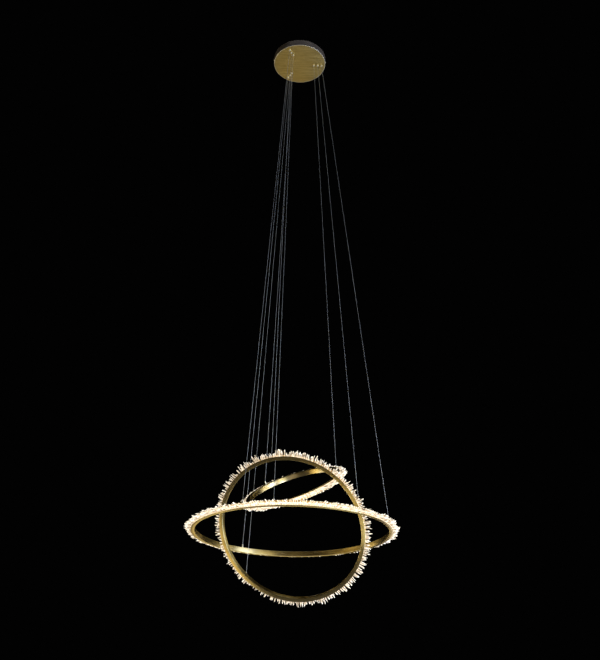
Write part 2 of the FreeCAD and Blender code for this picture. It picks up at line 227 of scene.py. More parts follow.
def chamfered_loop(length, depth, corner, inset, z):
    """The outline of a box with cut corners, drawn in by inset, at one height."""
    x, y = length / 2 - inset, depth / 2 - inset
    quarter = [(x, y - corner), (x - corner, y)]
    loop = quarter + [(-a, b) for a, b in reversed(quarter)]
    loop += [(-a, -b) for a, b in quarter] + [(a, -b) for a, b in reversed(quarter)]
    return [Vector((a, b, z)) for a, b in loop]


# How far the case is drawn in at each height: its edges are rounded, and a groove marks the seam.
driver_levels = [
    (0.0011, DRIVER_BOTTOM),
    (0.0003, DRIVER_BOTTOM + 0.0004),
    (0, DRIVER_BOTTOM + 0.0012),
    (0, DRIVER_SEAM - 0.0006),
    (0.0005, DRIVER_SEAM - 0.0004),
    (0.0005, DRIVER_SEAM + 0.0004),
    (0, DRIVER_SEAM + 0.0006),
    (0, DRIVER_TOP - 0.0012),
    (0.0003, DRIVER_TOP - 0.0004),
    (0.0011, DRIVER_TOP),
]
driver_size = DRIVER_LENGTH, DRIVER_DEPTH, DRIVER_CORNER
driver_loops = [chamfered_loop(*driver_size, inset, z) for inset, z in driver_levels]
driver_case = lofted("driver_case", driver_loops)
polycarbonate = moulded_plastic("moulded_polycarbonate", "#d9d8d2", "#e6e5df", 0.42, 0.0008)
fitted("driver_case", driver_case, polycarbonate, "canopy", "driver_case", "driver")

# ------------------------------------------------------------------ terminal block
# Three poles in one moulded nylon block, which takes the mains cable from the ceiling. It is
# screwed under the bracket's wing.

nylon = moulded_plastic("moulded_nylon", "#ddd9cb", "#ebe8dd", 0.34, 0.0012)
terminals = eased("terminal_block", radius=0.0005)
fitted("terminal_poles", terminals, nylon, "canopy", "terminal_plastic", "terminal_block")

# ------------------------------------------------------------------ row insulators
# One moulded nylon strip lies inside the cover under each row of grips, with a square collar
# through each hole, so that no grip touches the cover.

insulator_nylon = moulded_plastic("unfilled_nylon", "#cfc8b2", "#ddd7c3", 0.46, 0.001)
insulators = eased("row_insulators", radius=0.0003)
fitted("collared_strips", insulators, insulator_nylon, "canopy", "insulator", "row_insulators")

# ------------------------------------------------------------------ grip strips
# Flat steel bars, nickel plated over a drawn finish. Three grips are riveted to each, and it
# feeds them and shares their load.


def plated_nickel():
    """Satin nickel over drawn steel: warm grey with faint lines, 1 mm apart, along the bar."""
    material, tree, shader, place = new_finish("satin_nickel", Metallic=1)
    lines = spread(tree, place, (60, 60, 1000), detail=4)
    tinted(tree, shader, lines, [(0.3, "#c6c2b8"), (0.7, "#ebe7dc")])
    varied(tree, shader.inputs["Roughness"], lines, 0.28, 0.42)
    raised(tree, shader, lines, 0.00002)
    return material


nickel = plated_nickel()
strips = eased("grip_strips", radius=0.0004)
fitted("riveted_strips", strips, nickel, "canopy", "steel", "grip_strips")

# ------------------------------------------------------------------ ring leads
# Two single leads in silicone sleeves carry the low voltage from the driver to the front and
# back strips. Each comes out level, and has one bend down to its strip.

LEAD_DIAMETER, LEAD_LENGTH = 0.0024, 0.0472
LEAD_SHARES = (0.4, 0.78)  # knots on the way to the corner, which keep the bend easy
LEAD_ROUTES = {
    "front": [(-0.034, -0.021, -0.014), (-0.034, -0.0589, -0.014), (-0.034, -0.0589, -0.0293)],
    "back": [(-0.034, 0.021, -0.014), (-0.034, 0.0589, -0.014), (-0.034, 0.0589, -0.0293)],
}


def silicone_rubber():
    """Extruded silicone: dark, matt and faintly cloudy, with a dusting of talc."""
    material, tree, shader, place = new_finish("silicone_sleeve", IOR=1.43)
    talc = spread(tree, place, (500, 500, 500))
    tinted(tree, shader, talc, [(0.4, "#26221f"), (0.75, "#3c3733")])
    varied(tree, shader.inputs["Roughness"], talc, 0.5, 0.66)
    raised(tree, shader, talc, 0.00003)
    return material


def drawn_line(name, points, diameter):
    """A round cord along one smooth line."""
    line = bpy.data.curves.new(name, "CURVE")
    line.dimensions = "3D"
    spline = line.splines.new("NURBS")
    spline.points.add(len(points) - 1)
    for knot, point in zip(spline.points, points):
        knot.co = (*point, 1)
    spline.order_u = 3
    spline.use_endpoint_u = True
    line.bevel_depth = diameter / 2
    line.bevel_resolution = 3
    line.use_fill_caps = True
    piece = bpy.data.objects.new(name, line)
    bpy.context.scene.collection.objects.link(piece)
    return piece


silicone = silicone_rubber()
for row, route in LEAD_ROUTES.items():
    start, corner, end = (Vector(point) for point in route)
    to_bend = [start.lerp(corner, share) for share in LEAD_SHARES]
    points = [start, *to_bend, corner.lerp(end, 0.5), end]
    lead = drawn_line(row + "_lead", points, LEAD_DIAMETER)
    lead.data.materials.append(silicone)
    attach(lead, "canopy")
    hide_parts("ring_leads")

# ------------------------------------------------------------------ canopy cover
# A cup of 1.5 mm brass, spun and then brushed straight across its face. The wall is left dark.
# It hangs on two side screws by its notches, and nine square holes pass the grips' collars.

CANOPY_RADIUS, CANOPY_HEIGHT, CANOPY_SHEET, CANOPY_EDGE = 0.135, 0.035, 0.0015, 0.0012
CANOPY_STEPS, EDGE_STEPS = 192, 5
CUP_MIDDLE, CUP_BURR = 0.03, 0.0003
# How far in from the edge the painted rim highlight runs, and how far up from the face the wall
# turns dark.
RIM_HIGHLIGHT_FROM_EDGE, WALL_FROM_FACE = (0.0035, 0.0025), (0.0011, 0.0016)
ROWS = {"front": -120, "back": 120, "right": 0}
GRIP_RADII = {"large": 0.115, "middle": 0.095, "small": 0.075}
GRIP_HOLE, HOLE_DEPTH = 0.0067, 0.006
SCREW_Z, NOTCH, NOTCH_DEPTH, NOTCH_OPEN = -0.014, 0.0022, 0.008, 0.001


def around(radius, z, steps):
    """A level circle of points."""
    turns = [2 * math.pi * i / steps for i in range(steps)]
    return [Vector((radius * math.cos(a), radius * math.sin(a), z)) for a in turns]


def grip_matrix(ring, row):
    """Moves what is built about the canopy's axis to one grip."""
    turn = Matrix.Rotation(math.radians(ROWS[row]), 4, "Z")
    return turn @ Matrix.Translation((GRIP_RADII[ring], 0, 0))


def box_cutter(bm, size, matrix):
    """Adds a box to the shape that is cut out of the cover."""
    bmesh.ops.create_cube(bm, size=1, matrix=matrix @ Matrix.Diagonal((*size, 1)))


def canopy_cup():
    """The spun cup, before its holes."""
    face, inside = -CANOPY_HEIGHT, -CANOPY_HEIGHT + CANOPY_SHEET
    inner = CANOPY_RADIUS - CANOPY_SHEET
    bend = 2 * CUP_BURR
    profile = [(CUP_MIDDLE, inside), (inner - bend, inside), (inner, inside + bend)]
    profile += [(inner, -CUP_BURR), (inner + CUP_BURR, 0), (CANOPY_RADIUS - CUP_BURR, 0)]
    profile += [(CANOPY_RADIUS, -CUP_BURR)]
    for step in range(EDGE_STEPS + 1):
        turn = math.radians(90 * step / EDGE_STEPS)
        radius = CANOPY_RADIUS - CANOPY_EDGE * (1 - math.cos(turn))
        profile.append((radius, face + CANOPY_EDGE * (1 - math.sin(turn))))
    profile.append((CUP_MIDDLE, face))
    return lofted("canopy_cup", [around(r, z, CANOPY_STEPS) for r, z in profile])


def cut_through(mesh, cutter):
    """A mesh less what the cutter takes out of it."""
    solid = bpy.data.objects.new("solid", mesh)
    tool = bpy.data.objects.new("tool", cutter)
    for thing in (solid, tool):
        bpy.context.scene.collection.objects.link(thing)
    cut = solid.modifiers.new("cut", "BOOLEAN")
    cut.operation, cut.solver, cut.object = "DIFFERENCE", "EXACT", tool
    seen = bpy.context.evaluated_depsgraph_get()
    result = bpy.data.meshes.new_from_object(solid.evaluated_get(seen))
    for thing in (solid, tool):
        bpy.data.objects.remove(thing)
    return result


MATHS = "ShaderNodeMath"
PLUS, LESS, TIMES, OVER, TIMES_PLUS = (
    {"operation": name} for name in ("ADD", "SUBTRACT", "MULTIPLY", "DIVIDE", "MULTIPLY_ADD")
)


def combed(tree, shader, uv_map, amount):
    """Stretches the reflections across fine parallel lines, which follow the U of a UV map."""
    along = put(tree, "ShaderNodeTangent", {"direction_type": "UV_MAP", "uv_map": uv_map}, {})
    tree.links.new(along.outputs[0], shader.inputs["Tangent"])
    shader.inputs["Anisotropic"].default_value = amount
    shader.inputs["Anisotropic Rotation"].default_value = 0.25


def brushed_canopy_brass():
    """Brass brushed along X: olive gold with long streaks, a painted highlight round the rim and a
    dark wall.
    """
    material, tree, shader, place = new_finish("straight_brushed_brass", Metallic=1)
    combed(tree, shader, "grain", 0.8)
    streaks = spread(tree, place, (9, 260, 260), detail=5)
    fine = spread(tree, place, (40, 1100, 1100), detail=2)
    both = put(tree, MATHS, TIMES_PLUS, {0: fine, 1: 0.4, 2: streaks})
    worn = put(tree, MATHS, LESS, {0: both, 1: 0.2})
    face = tinted(tree, shader, worn, [(0.32, "#b6a160"), (0.68, "#dfcb87")])
    level = put(tree, "ShaderNodeVectorMath", TIMES, {0: place, 1: (1, 1, 0)})
    out = put(tree, "ShaderNodeVectorMath", {"operation": "LENGTH"}, {0: level}).outputs["Value"]
    # Painted highlight: a pale band just inside the rounded edge stands in for the edge catching
    # the light.
    start, end = (CANOPY_RADIUS - inset for inset in RIM_HIGHLIGHT_FROM_EDGE)
    rim_highlight = put(tree, "ShaderNodeMapRange", {}, {"Value": out, "From Min": start, "From Max": end})
    turned = {"Factor": rim_highlight, 6: face, 7: linear("#f2ecd6")}
    face = put(tree, "ShaderNodeMix", {"data_type": "RGBA"}, turned).outputs[2]
    height = put(tree, "ShaderNodeSeparateXYZ", {}, {"Vector": place}).outputs["Z"]
    low, high = (rise - CANOPY_HEIGHT for rise in WALL_FROM_FACE)
    wall = put(tree, "ShaderNodeMapRange", {}, {"Value": height, "From Min": low, "From Max": high})
    darkened = {"Factor": wall, 6: face, 7: linear("#6e645a")}
    dark = put(tree, "ShaderNodeMix", {"data_type": "RGBA"}, darkened)
    bare = put(tree, "ShaderNodeMapRange", {}, {"Value": wall, "To Min": 1, "To Max": 0.3})
    tree.links.new(bare.outputs[0], shader.inputs["Metallic"])
    tree.links.new(dark.outputs[2], shader.inputs["Base Color"])
    varied(tree, shader.inputs["Roughness"], worn, 0.34, 0.46)
    raised(tree, shader, worn, 0.00003)
    return material


cutter_shape = bmesh.new()
for ring in GRIP_RADII:
    for row in ROWS:
        middle = grip_matrix(ring, row) @ Matrix.Translation((0, 0, -CANOPY_HEIGHT))
        box_cutter(cutter_shape, (GRIP_HOLE, GRIP_HOLE, HOLE_DEPTH), middle)
for side in (-1, 1):
    middle = Matrix.Translation((side * CANOPY_RADIUS, 0, (SCREW_Z - NOTCH + NOTCH_OPEN) / 2))
    box_cutter(cutter_shape, (NOTCH_DEPTH, 2 * NOTCH, NOTCH_OPEN - SCREW_Z + NOTCH), middle)
cutter = bpy.data.meshes.new("grip_holes")
cutter_shape.to_mesh(cutter)
cutter_shape.free()
canopy_brass = brushed_canopy_brass()
cover = cut_through(canopy_cup(), cutter)
grain = cover.uv_layers.new(name="grain")
for loop in cover.loops:
    x, y, z = cover.vertices[loop.vertex_index].co
    grain.data[loop.index].uv = (x, y + z)
fitted("spun_cover", cover, canopy_brass, "canopy", "canopy_brass", "canopy_cover")

# ------------------------------------------------------------------ side screws
# Two hexagon-headed screws of lacquered brass go through the cover's notches into the bracket's
# tapped ends, and hold the cover up.


def lacquered_brass():
    """Turned brass under a satin lacquer, which scatters light, with fine tool marks round it."""
    material, tree, shader, place = new_finish("lacquered_brass", Metallic=0.6, Coat_Weight=0.4)
    marks = spread(tree, place, (500, 500, 2200), detail=2)
    tinted(tree, shader, marks, [(0.3, "#efe3b8"), (0.7, "#fff7dc")])
    varied(tree, shader.inputs["Roughness"], marks, 0.34, 0.48)
    raised(tree, shader, marks, 0.00001)
    return material


turned_brass = lacquered_brass()
screws = eased("side_screws", radius=0.0003)
fitted("cover_screws", screws, turned_brass, "canopy", "polished_brass", "side_screws")

# ------------------------------------------------------------------ grip bodies
# Nine wire grips, turned from hexagon brass, with a square neck riveted into the strip. The bore
# narrows downward, so that a wire's pull tightens the jaws.

grips = eased("grip_bodies", radius=0.0006)
fitted("wire_grips", grips, turned_brass, "canopy", "polished_brass", "grip_bodies")

# ------------------------------------------------------------------ release sleeves and jaws
# Under each grip stands a nickel-plated sleeve, which is pushed up to free the wire. Its mouth
# is flared so that the wire can lean. The pair of hardened wedge jaws rides on it.

SLEEVE_TOP, SLEEVE_MOUTH, SLEEVE_STEPS = -0.0397, -0.043, 28
SLEEVE_RADIUS, LIP_RADIUS, MOUTH_RADIUS, BORE_RADIUS = 0.00205, 0.0022, 0.0016, 0.001


def flared_sleeve(ring, row):
    """A round sleeve with a rolled lip and a flared bore."""
    outside = [(SLEEVE_RADIUS, SLEEVE_TOP), (SLEEVE_RADIUS, SLEEVE_MOUTH + 0.0007)]
    lip = [(LIP_RADIUS, SLEEVE_MOUTH + 0.0005), (LIP_RADIUS, SLEEVE_MOUTH + 0.00015)]
    mouth = [(SLEEVE_RADIUS, SLEEVE_MOUTH), (MOUTH_RADIUS, SLEEVE_MOUTH)]
    mouth += [(MOUTH_RADIUS - 0.00015, SLEEVE_MOUTH + 0.0002)]
    bore = [(BORE_RADIUS, SLEEVE_TOP)]
    profile = outside + lip + mouth + bore
    mesh = lofted("sleeve", [around(r, z, SLEEVE_STEPS) for r, z in profile], hollow=True)
    mesh.transform(grip_matrix(ring, row))
    return mesh


for ring in GRIP_RADII:
    for row in ROWS:
        grip = ring + "_" + row
        body = grip + "_release"
        sleeve = flared_sleeve(ring, row)
        fitted(grip + "_sleeve", sleeve, nickel, body, "nickel", grip + "_release_sleeve")
        jaws = eased(grip + "_jaws", radius=0.0001)
        fitted(grip + "_wedges", jaws, steel, body, "steel", grip + "_jaws")

# ------------------------------------------------------------------ wires
# Nine stranded steel wires, 1.2 mm thick, run taut from the grips to the studs on the rings.
# They carry the load and the low voltage.

RINGS = {
    "large": {"radius": 0.400, "flats": 24, "tilt": 0, "toward": 0, "twist": 0,
              "centre": (0, 0, -2.520)},
    "middle": {"radius": 0.300, "flats": 20, "tilt": 55.4, "toward": 68.2, "twist": 0.91,
               "centre": (-0.0034, -0.0084, -2.514)},
    "small": {"radius": 0.200, "flats": 16, "tilt": 36.2, "toward": -125.5, "twist": 0.18,
              "centre": (0.0035, 0.0049, -2.339)},
}
RING_DEPTH, RING_WIDTH, RING_WALL = 0.015, 0.020, 0.002
GRIP_PIVOT_Z, STUD_PIVOT = -0.0387, 0.024
WIRE_DIAMETER, WIRE_TAIL = 0.0012, 0.0008


def ring_matrix(ring):
    """The place of a ring, which is built level about the Z axis."""
    toward = math.radians(ring["toward"])
    lean_axis = Vector((-math.sin(toward), math.cos(toward), 0))
    lean = Matrix.Rotation(math.radians(ring["tilt"]), 4, lean_axis)
    twist = Matrix.Rotation(math.radians(ring["twist"]), 4, "Z")
    return Matrix.Translation(ring["centre"]) @ lean @ twist


def stranded_steel():
    """Seven twisted strands, too fine to show: drawn as slanting bands 2 mm apart."""
    material, tree, shader, place = new_finish("stranded_steel", Metallic=0.6)
    bands = {"Vector": place, "Scale": 160, "Distortion": 0.6}
    slant = {"bands_direction": "DIAGONAL"}
    twist = put(tree, "ShaderNodeTexWave", slant, bands).outputs["Fac"]
    tinted(tree, shader, twist, [(0.1, "#a9adae"), (0.7, "#f4f5f2")])
    varied(tree, shader.inputs["Roughness"], twist, 0.6, 0.45)
    raised(tree, shader, twist, 0.00008)
    return material


wire_steel = stranded_steel()
for name, ring in RINGS.items():
    for row, azimuth in ROWS.items():
        turn = math.radians(azimuth)
        out = Vector((math.cos(turn), math.sin(turn), 0))
        upper = out * GRIP_RADII[name] + Vector((0, 0, GRIP_PIVOT_Z))
        lower = out * (ring["radius"] - RING_DEPTH / 2) + Vector((0, 0, STUD_PIVOT))
        lower = ring_matrix(ring) @ lower
        upper += (upper - lower).normalized() * WIRE_TAIL
        points = [upper.lerp(lower, share) for share in (0, 0.25, 0.5, 0.75, 1)]
        wire = drawn_line(name + "_" + row + "_wire_line", points, WIRE_DIAMETER)
        wire.data.materials.append(wire_steel)
        body = name + "_" + row + "_wire"
        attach(wire, body)
        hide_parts(body)

# ------------------------------------------------------------------ ring channels
# Each ring is one extruded brass channel, rolled to a circle with its open side outward. Its
# ends meet at one fine seam, where a band is drawn darker. It is brushed along its length, its
# rounded edges are painted paler as a painted highlight, and a clear lacquer covers it.

SEAM_ANGLE, SEAM_GAP = math.radians(157), 0.0003
STEPS_PER_FLAT = 14
SEAM_DARK_BAND = 0.0095  # width of the darkened brass at the seam
LIP_ROUND, BACK_ROUND = 0.0005, 0.0009
ROUND_STEPS = 4


def channel_section(radius, floor):
    """The channel's outline as (radius, z, painted edge highlight: 1 on a rounded edge or 0
    elsewhere).
    """
    half, inner, lip = RING_WIDTH / 2, radius - RING_DEPTH, RING_WIDTH / 2 - RING_WALL
    corners = [
        (radius, half, LIP_ROUND),
        (inner, half, BACK_ROUND),
        (inner, -half, BACK_ROUND),
        (radius, -half, LIP_ROUND),
        (radius, -lip, LIP_ROUND),
        (floor, -lip, 0),
        (floor, lip, 0),
        (radius, lip, LIP_ROUND),
    ]
    outline = []
    for i, (r, z, ease) in enumerate(corners):
        corner = Vector((r, z))
        if ease == 0:
            outline.append((r, z, 0))
            continue
        beside = corners[i - 1], corners[(i + 1) % len(corners)]
        before, after = ((Vector(b[:2]) - corner).normalized() * ease for b in beside)
        for step in range(ROUND_STEPS + 1):
            turn = math.radians(90 * step / ROUND_STEPS)
            point = corner + before * (1 - math.sin(turn)) + after * (1 - math.cos(turn))
            outline.append((point.x, point.y, 1 if 0 < step < ROUND_STEPS else 0.3))
    return outline


def rolled_channel(name, ring):
    """The channel with flats on its floor for the boards, and a UV map in metres."""
    radius, flats = ring["radius"], ring["flats"]
    bm = bmesh.new()
    uv = bm.loops.layers.uv.new("band")
    highlight_layer = bm.verts.layers.float.new("edge_highlight")
    heat = bm.verts.layers.float.new("heat")
    half_gap = SEAM_GAP / 2 / radius
    flat = 2 * math.pi / flats
    count = flats * STEPS_PER_FLAT
    rows, lengths = [], []
    for i in range(count + 1):
        turn = half_gap + (2 * math.pi - 2 * half_gap) * i / count
        off_middle = (turn + flat / 2) % flat - flat / 2
        floor = (radius - RING_DEPTH + RING_WALL) / math.cos(off_middle)
        row, along, last = [], [], None
        for r, z, edge_highlight in channel_section(radius, floor):
            angle = SEAM_ANGLE + turn
            vertex = bm.verts.new((r * math.cos(angle), r * math.sin(angle), z))
            vertex[highlight_layer] = edge_highlight
            vertex[heat] = min(i, count - i) * 2 * math.pi * radius / count < SEAM_DARK_BAND / 2
            row.append(vertex)
            here = Vector((r, z))
            along.append(0 if last is None else along[-1] + (here - last).length)
            last = here
        rows.append(row)
        lengths.append(along)
    sides = len(rows[0])
    for i in range(count):
        for j in range(sides):
            k = (j + 1) % sides
            face = bm.faces.new((rows[i][j], rows[i + 1][j], rows[i + 1][k], rows[i][k]))
            end = lengths[i][k] if k else lengths[i][j] + RING_WALL
            for loop, (u, v) in zip(
                face.loops, ((i, lengths[i][j]), (i + 1, lengths[i][j]), (i + 1, end), (i, end))
            ):
                loop[uv].uv = (u / count * 2 * math.pi * radius, v)
    bm.faces.new(rows[0])
    bm.faces.new(rows[-1])
    bmesh.ops.recalc_face_normals(bm, faces=bm.faces)
    mesh = bpy.data.meshes.new(name)
    bm.to_mesh(mesh)
    bm.free()
    mesh.transform(ring_matrix(ring))
    return mesh


def brushed_ring_brass():
    """Brass brushed round the ring: fine lines 0.8 mm apart, slow tone changes, a painted edge
    highlight.
    """
    material, tree, shader, place = new_finish(
        "ring_brushed_brass", Metallic=1, Coat_Weight=1, Coat_Roughness=0.22, Coat_IOR=1.8
    )
    combed(tree, shader, "band", 0.9)
    band = put(tree, "ShaderNodeUVMap", {"uv_map": "band"}, {}).outputs[0]
    lines = spread(tree, band, (30, 1250, 1), detail=3)
    tone = spread(tree, place, (14, 14, 14), detail=2)
    mixed = put(tree, MATHS, TIMES_PLUS, {0: lines, 1: 0.5, 2: tone})
    worn = put(tree, MATHS, LESS, {0: mixed, 1: 0.25})
    body = tinted(tree, shader, worn, [(0.3, "#b08c26"), (0.7, "#d4b148")])
    # Painted highlight: the rounded edges are painted a paler gold.
    edge_highlight = put(tree, "ShaderNodeAttribute", {"attribute_name": "edge_highlight"}, {}).outputs["Fac"]
    edges = {"Factor": edge_highlight, 6: body, 7: linear("#e8dba0")}
    edge_highlighted = put(tree, "ShaderNodeMix", {"data_type": "RGBA"}, edges).outputs[2]
    # A band 9.5 mm wide at the seam is drawn dark brown.
    heat = put(tree, "ShaderNodeAttribute", {"attribute_name": "heat"}, {}).outputs["Fac"]
    darkened_seam = {"Factor": heat, 6: edge_highlighted, 7: linear("#2e1f0e")}
    seam = put(tree, "ShaderNodeMix", {"data_type": "RGBA"}, darkened_seam)
    tree.links.new(seam.outputs[2], shader.inputs["Base Color"])
    varied(tree, shader.inputs["Roughness"], worn, 0.32, 0.42)
    raised(tree, shader, lines, 0.00002)
    return material


ring_brass = brushed_ring_brass()
for name, ring in RINGS.items():
    channel = rolled_channel(name + "_channel", ring)
    node = name + "_ring_channel"
    fitted(name + "_band", channel, ring_brass, name + "_ring", "brushed_brass", node)

# ------------------------------------------------------------------ splice plates
# A plate of zinc-plated steel lies on the channel's floor behind the seam, and is riveted to
# both ends of the channel to join them.

for name in RINGS:
    plate = eased(name + "_ring_splice_plate", radius=0.0003)
    node = name + "_ring_splice_plate"
    fitted(name + "_splice", plate, steel, name + "_ring", "steel", node)

# ------------------------------------------------------------------ light boards and lamps
# Straight circuit boards in white lacquer are glued on the flats of the channel's floor. Each
# has a row of small warm lamps, which light the quartz from below.

BOARD_SHEET, BOARD_GAP = 0.0016, 0.001
LAMP_SIZE, LAMP_HEIGHT, LAMP_PITCH = 0.0028, 0.0007, 0.0083
ABOUT_Z = {"rotation_type": "Z_AXIS"}


def board_with_painted_glow():
    """White solder lacquer, with a painted warm glow of its own in place of the lamps' light across
    it.
    """
    material, tree, shader, place = new_finish("white_board_painted_glow", Roughness=0.35, IOR=1.5)
    shine = spread(tree, place, (120, 120, 120))
    glow = tinted(tree, shader, shine, [(0.35, "#e9d9ba"), (0.65, "#f6ecd6")])
    # Painted glow: the board itself emits warm light.
    tree.links.new(glow, shader.inputs["Emission Color"])
    shader.inputs["Emission Strength"].default_value = 0.5
    return material


def lamp_phosphor():
    """Warm white phosphor under clear silicone, brightest in the middle of its grains."""
    material, tree, shader, place = new_finish("warm_phosphor", Roughness=0.3, IOR=1.41)
    grain = spread(tree, place, (1500, 1500, 1500))
    glow = tinted(tree, shader, grain, [(0.3, "#ffc878"), (0.7, "#ffe2ae")])
    tree.links.new(glow, shader.inputs["Emission Color"])
    shader.inputs["Emission Strength"].default_value = 6
    return material


def tree_with(name, *inputs):
    """A Geometry Nodes tree that gives a mesh, with (name, socket kind) inputs."""
    tree = bpy.data.node_groups.new(name, "GeometryNodeTree")
    tree.interface.new_socket("Made", in_out="OUTPUT", socket_type="NodeSocketGeometry")
    for label, kind in inputs:
        tree.interface.new_socket(label, in_out="INPUT", socket_type="NodeSocket" + kind)
    return tree, tree.nodes.new("NodeGroupInput").outputs


def grown(name, tree, matrix, **values):
    """The plain mesh that a tree makes with these values, moved to its place."""
    host = bpy.data.objects.new(name, bpy.data.meshes.new(name))
    bpy.context.scene.collection.objects.link(host)
    maker = host.modifiers.new(name, "NODES")
    maker.node_group = tree
    for item in tree.interface.items_tree:
        if item.in_out == "INPUT" and item.name in values:
            maker[item.identifier] = values[item.name]
    seen = bpy.context.evaluated_depsgraph_get()
    mesh = bpy.data.meshes.new_from_object(host.evaluated_get(seen))
    bpy.data.objects.remove(host)
    mesh.transform(matrix)
    return mesh


def lamp_tree():
    """Lamps in one row along each board: boards in turn round the ring, lamps along each."""
    tree, given = tree_with(
        "lamps_on_boards",
        ("Boards", "Int"),
        ("Lamps", "Int"),
        ("Turn", "Float"),
        ("Pitch", "Float"),
        ("Seat", "Float"),
        ("Size", "Vector"),
        ("Finish", "Material"),
    )
    total = put(tree, MATHS, TIMES, {0: given["Boards"], 1: given["Lamps"]})
    index = put(tree, "GeometryNodeInputIndex", {}, {})
    done = put(tree, MATHS, OVER, {0: index, 1: given["Lamps"]})
    whole = put(tree, MATHS, {"operation": "FLOOR"}, {0: done})
    board = put(tree, MATHS, PLUS, {0: whole, 1: 1})
    angle = put(tree, MATHS, TIMES_PLUS, {0: board, 1: given["Turn"], 2: SEAM_ANGLE})
    lamp = put(tree, MATHS, {"operation": "MODULO"}, {0: index, 1: given["Lamps"]})
    last = put(tree, MATHS, LESS, {0: given["Lamps"], 1: 1})
    middle = put(tree, MATHS, TIMES, {0: last, 1: 0.5})
    off = put(tree, MATHS, LESS, {0: lamp, 1: middle})
    along = put(tree, MATHS, TIMES, {0: off, 1: given["Pitch"]})
    place = put(tree, "ShaderNodeCombineXYZ", {}, {"X": given["Seat"], "Y": along})
    turned = put(tree, "ShaderNodeVectorRotate", ABOUT_Z, {"Vector": place, "Angle": angle})
    spots = put(tree, "GeometryNodePoints", {}, {"Count": total, "Position": turned})
    facing = put(tree, "ShaderNodeCombineXYZ", {}, {"Z": angle})
    chip = put(tree, "GeometryNodeMeshCube", {}, {"Size": given["Size"]})
    laid = {"Points": spots, "Instance": chip, "Rotation": facing}
    chips = put(tree, "GeometryNodeInstanceOnPoints", {}, laid)
    real = put(tree, "GeometryNodeRealizeInstances", {}, {"Geometry": chips})
    painted = {"Geometry": real, "Material": given["Finish"]}
    painted = put(tree, "GeometryNodeSetMaterial", {}, painted)
    put(tree, "NodeGroupOutput", {}, {"Made": painted})
    return tree


board_white, phosphor = board_with_painted_glow(), lamp_phosphor()
lamps_on_boards = lamp_tree()
for name, ring in RINGS.items():
    boards = eased(name + "_ring_light_boards", radius=0.0002)
    node = name + "_ring_light_boards"
    fitted(name + "_boards", boards, board_white, name + "_ring", "circuit_board", node)
    floor = ring["radius"] - RING_DEPTH + RING_WALL
    board_length = 2 * floor * math.tan(math.pi / ring["flats"]) - BOARD_GAP
    lamps = grown(
        name + "_lamps",
        lamps_on_boards,
        ring_matrix(ring),
        Boards=ring["flats"] - 1,
        Lamps=int(board_length / LAMP_PITCH),
        Turn=2 * math.pi / ring["flats"],
        Pitch=LAMP_PITCH,
        Seat=floor + BOARD_SHEET + LAMP_HEIGHT / 2,
        Size=(LAMP_HEIGHT, LAMP_SIZE, LAMP_SIZE),
        Finish=phosphor,
    )
    fitted(name + "_lamps", lamps, phosphor, name + "_ring", "circuit_board")

# ------------------------------------------------------------------ quartz points
# Natural clear quartz points, broken from the rock and glued over the lamps in two close rows.
# Each is a six-sided prism that tapers to a tip off its middle. Tall ones stand in groups.

QUARTZ_PITCH = {"large": 0.0076, "middle": 0.0092, "small": 0.0076}
QUARTZ_ROWS, QUARTZ_ROW_GAP = 2, 0.0066
QUARTZ_THICKNESS = (0.0042, 0.007)
QUARTZ_BEYOND = {"large": (0.011, 0.0275), "middle": (0.006, 0.0285), "small": (0.014, 0.0295)}
QUARTZ_LEAN, QUARTZ_SPLAY, QUARTZ_STRAY = 0.12, 0.1, 0.3
QUARTZ_GROUP, QUARTZ_UNEVEN = 0.024, 0.0004
GROUP_NOISE, GROUP_STRAY, TALL_SHARE = (0.36, 0.64), (-0.35, 0.65), 0.68
FACET_LIGHT, FLAW_LIGHT, TIP_LIGHT, FOOT_LIGHT, FOOT_REACH = 0.7, 0.2, 0.2, 0.12, 0.35
QUARTZ_GLOW_TONES = [
    (0.3, "#38291b"),
    (0.37, "#8d7b63"),
    (0.45, "#b4a58d"),
    (0.57, "#d0c4ae"),
    (0.7, "#ebe4d4"),
]
# Each form: taper, height of the shoulder, the tip's place, its size, and flatness.
QUARTZ_FORMS = [
    (0.88, 0.82, (0.1, 0.05), 0.22, 1),
    (0.76, 0.7, (-0.12, 0.1), 0.1, 0.8),
    (0.94, 0.88, (0.15, -0.1), 0.4, 0.9),
    (0.84, 0.78, (-0.05, -0.15), 0.16, 0.72),
    (0.66, 0.62, (0.04, 0.12), 0.08, 1),
]


def quartz_shape(number, taper, shoulder, tip_place, end, flatness):
    """One point, a unit thick and long: reach is how far up a corner is, tip marks end faces."""
    levels = [(0, 1), (0.35, (1 + taper) / 2), (shoulder, taper)]
    loops = []
    for z, width in levels:
        loop = []
        for side in range(6):
            turn = math.radians(60 * side + 7 * number)
            size = width * (0.5 if side % 2 else 0.44)
            loop.append(Vector((size * math.cos(turn), size * flatness * math.sin(turn), z)))
        loops.append(loop)
    for side, point in enumerate(loops[-1]):
        point.z += 0.09 * math.sin(side * 2.1 + number)
    loops.append([Vector((*tip_place, 1)) + point.xyz * end for point in loops[0]])
    mesh = lofted("quartz_shape_%d" % number, loops)
    reach = mesh.attributes.new("reach", "FLOAT", "POINT")
    for vertex, value in zip(mesh.vertices, reach.data):
        value.value = max(0, min(1, vertex.co.z))
    tip = mesh.attributes.new("tip", "FLOAT", "FACE")
    for face, value in zip(mesh.polygons, tip.data):
        value.value = max(0, min(1, (face.center.z - shoulder + 0.05) * 12))
    return mesh


